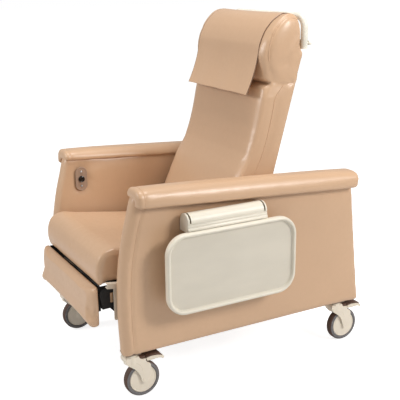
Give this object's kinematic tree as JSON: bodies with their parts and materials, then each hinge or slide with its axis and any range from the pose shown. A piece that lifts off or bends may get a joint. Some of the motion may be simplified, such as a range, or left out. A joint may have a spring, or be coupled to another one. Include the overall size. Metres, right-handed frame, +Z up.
{
  "type": "patient recliner chair",
  "caption": "Wheeled vinyl patient recliner with reclining back, rising leg rest, fold-down side trays, push bar, head cover and braked casters.",
  "frame": {"origin": "on the floor, below the middle of the chair's width and length", "axes": "+Z up, +X the patient's left, -Y the way the patient faces"},
  "size_m": [0.854, 1.103, 1.2579],
  "materials": {
    "tan_vinyl": "tan upholstery vinyl, fine grain, satin sheen",
    "panel_vinyl": "tan upholstery vinyl stretched over padded side panels",
    "cream_plastic": "cream blow-moulded plastic, fine texture",
    "caster_plastic": "cream nylon",
    "cream_steel": "cream powder coat",
    "black_steel": "black powder coat",
    "beige_steel": "beige powder coat",
    "bright_steel": "zinc-plated steel",
    "grey_tyre": "grey-brown polyurethane tread",
    "black_plastic": "black push button",
    "taupe_plastic": "taupe moulded plate",
    "plywood": "unfinished plywood"
  },
  "bodies": {
    "base": {"side_panel_left": "panel_vinyl", "side_panel_right": "panel_vinyl", "arm_pad_left": "tan_vinyl", "arm_pad_right": "tan_vinyl", "base_frame": "black_steel", "seat_rail_left": "beige_steel", "seat_rail_right": "beige_steel", "tray_hinge_bracket_left": "bright_steel", "tray_hinge_bracket_right": "bright_steel", "release_plate": "taupe_plastic", "release_screw_upper": "bright_steel", "release_screw_lower": "bright_steel", "caster_stem_front_left": "bright_steel", "caster_stem_front_right": "bright_steel", "caster_stem_rear_left": "bright_steel", "caster_stem_rear_right": "bright_steel"},
    "seat": {"seat_cushion": "tan_vinyl", "seat_frame": "black_steel"},
    "back": {"back_cushion": "tan_vinyl", "headrest_cushion": "tan_vinyl", "back_cover": "tan_vinyl", "back_frame": "plywood", "head_cover": "tan_vinyl", "push_bar": "cream_steel"},
    "legrest_arms": {"legrest_arm_left": "black_steel", "legrest_arm_right": "black_steel", "legrest_cross_tube": "black_steel"},
    "legrest_struts": {"legrest_strut_left": "black_steel", "legrest_strut_right": "black_steel"},
    "footrest": {"footrest_board": "black_steel", "footrest_pad": "tan_vinyl"},
    "spring_cylinder": {"gas_spring_cylinder": "black_steel"},
    "spring_rod": {"gas_spring_rod": "bright_steel"},
    "tray_left": {"tray_left": "cream_plastic", "tray_hinge_cover_left": "cream_plastic", "tray_hinge_rod_left": "bright_steel"},
    "tray_right": {"tray_right": "cream_plastic", "tray_hinge_cover_right": "cream_plastic", "tray_hinge_rod_right": "bright_steel"},
    "release_button": {"release_button": "black_plastic"},
    "caster_front_left": {"caster_fork_front_left": "caster_plastic", "caster_axle_front_left": "bright_steel"},
    "wheel_front_left": {"caster_hub_front_left": "caster_plastic", "caster_tyre_front_left": "grey_tyre"},
    "brake_front_left": {"caster_pedal_front_left": "caster_plastic"},
    "caster_front_right": {"caster_fork_front_right": "caster_plastic", "caster_axle_front_right": "bright_steel"},
    "wheel_front_right": {"caster_hub_front_right": "caster_plastic", "caster_tyre_front_right": "grey_tyre"},
    "brake_front_right": {"caster_pedal_front_right": "caster_plastic"},
    "caster_rear_left": {"caster_fork_rear_left": "caster_plastic", "caster_axle_rear_left": "bright_steel"},
    "wheel_rear_left": {"caster_hub_rear_left": "caster_plastic", "caster_tyre_rear_left": "grey_tyre"},
    "brake_rear_left": {"caster_pedal_rear_left": "caster_plastic"},
    "caster_rear_right": {"caster_fork_rear_right": "caster_plastic", "caster_axle_rear_right": "bright_steel"},
    "wheel_rear_right": {"caster_hub_rear_right": "caster_plastic", "caster_tyre_rear_right": "grey_tyre"},
    "brake_rear_right": {"caster_pedal_rear_right": "caster_plastic"}
  },
  "joints": [
    {"name": "back_recline", "type": "hinge", "parent": "seat", "child": "back", "pos_m": [0, 0, 0.44], "axis": [-1, 0, 0], "range_deg": [0, 50]},
    {"name": "seat_slide", "type": "slide", "parent": "base", "child": "seat", "axis": [0, -0.9907, 0.1357], "range_m": [0, 0.0601]},
    {"name": "legrest_lift", "type": "hinge", "parent": "seat", "child": "legrest_arms", "pos_m": [0, -0.38, 0.362], "axis": [-1, 0, 0], "range_deg": [0, 115]},
    {"name": "legrest_elbow", "type": "hinge", "parent": "legrest_arms", "child": "legrest_struts", "pos_m": [0, -0.337, 0.194], "axis": [1, 0, 0], "range_deg": [0, 150]},
    {"name": "footrest_tilt", "type": "hinge", "parent": "legrest_struts", "child": "footrest", "pos_m": [0, -0.468, 0.332], "axis": [-1, 0, 0], "range_deg": [0, 121]},
    {"name": "spring_tilt", "type": "hinge", "parent": "base", "child": "spring_cylinder", "pos_m": [0, -0.284, 0.268], "axis": [1, 0, 0], "range_deg": [0, 8]},
    {"name": "spring_stroke", "type": "slide", "parent": "spring_cylinder", "child": "spring_rod", "axis": [0, -0.9695, -0.2452], "range_m": [0, 0.142]},
    {"name": "tray_left_fold", "type": "hinge", "parent": "base", "child": "tray_left", "pos_m": [0.3795, -0.104, 0.618], "axis": [0, -1, 0], "range_deg": [0, 90]},
    {"name": "tray_right_fold", "type": "hinge", "parent": "base", "child": "tray_right", "pos_m": [-0.3795, -0.104, 0.618], "axis": [0, 1, 0], "range_deg": [0, 90]},
    {"name": "release_button_push", "type": "slide", "parent": "base", "child": "release_button", "axis": [-1, 0, 0], "range_m": [0, 0.004]},
    {"name": "caster_swivel_front_left", "type": "hinge", "parent": "base", "child": "caster_front_left", "pos_m": [0.305, -0.426, 0.16], "axis": [0, 0, 1], "continuous": true},
    {"name": "wheel_roll_front_left", "type": "hinge", "parent": "caster_front_left", "child": "wheel_front_left", "pos_m": [0.305, -0.388, 0.0635], "axis": [1, 0, 0], "continuous": true},
    {"name": "brake_pedal_front_left", "type": "hinge", "parent": "caster_front_left", "child": "brake_front_left", "pos_m": [0.305, -0.378, 0.148], "axis": [-1, 0, 0], "range_deg": [0, 12]},
    {"name": "caster_swivel_front_right", "type": "hinge", "parent": "base", "child": "caster_front_right", "pos_m": [-0.305, -0.426, 0.16], "axis": [0, 0, 1], "continuous": true},
    {"name": "wheel_roll_front_right", "type": "hinge", "parent": "caster_front_right", "child": "wheel_front_right", "pos_m": [-0.305, -0.388, 0.0635], "axis": [1, 0, 0], "continuous": true},
    {"name": "brake_pedal_front_right", "type": "hinge", "parent": "caster_front_right", "child": "brake_front_right", "pos_m": [-0.305, -0.378, 0.148], "axis": [-1, 0, 0], "range_deg": [0, 12]},
    {"name": "caster_swivel_rear_left", "type": "hinge", "parent": "base", "child": "caster_rear_left", "pos_m": [0.305, 0.436, 0.16], "axis": [0, 0, 1], "continuous": true},
    {"name": "wheel_roll_rear_left", "type": "hinge", "parent": "caster_rear_left", "child": "wheel_rear_left", "pos_m": [0.305, 0.474, 0.0635], "axis": [1, 0, 0], "continuous": true},
    {"name": "brake_pedal_rear_left", "type": "hinge", "parent": "caster_rear_left", "child": "brake_rear_left", "pos_m": [0.305, 0.484, 0.148], "axis": [-1, 0, 0], "range_deg": [0, 12]},
    {"name": "caster_swivel_rear_right", "type": "hinge", "parent": "base", "child": "caster_rear_right", "pos_m": [-0.305, 0.436, 0.16], "axis": [0, 0, 1], "continuous": true},
    {"name": "wheel_roll_rear_right", "type": "hinge", "parent": "caster_rear_right", "child": "wheel_rear_right", "pos_m": [-0.305, 0.474, 0.0635], "axis": [1, 0, 0], "continuous": true},
    {"name": "brake_pedal_rear_right", "type": "hinge", "parent": "caster_rear_right", "child": "brake_rear_right", "pos_m": [-0.305, 0.484, 0.148], "axis": [-1, 0, 0], "range_deg": [0, 12]}
  ],
  "couplings": [
    {"joint": "seat_slide", "follows": "back_recline", "m_per_rad": 0.068755},
    {"joint": "legrest_lift", "follows": "back_recline", "ratio": 2.288},
    {"joint": "legrest_elbow", "follows": "back_recline", "ratio": 2.988},
    {"joint": "footrest_tilt", "follows": "back_recline", "ratio": 2.4},
    {"joint": "spring_tilt", "follows": "back_recline", "ratio": 0.1536},
    {"joint": "spring_stroke", "follows": "back_recline", "m_per_rad": 0.16203}
  ]
}
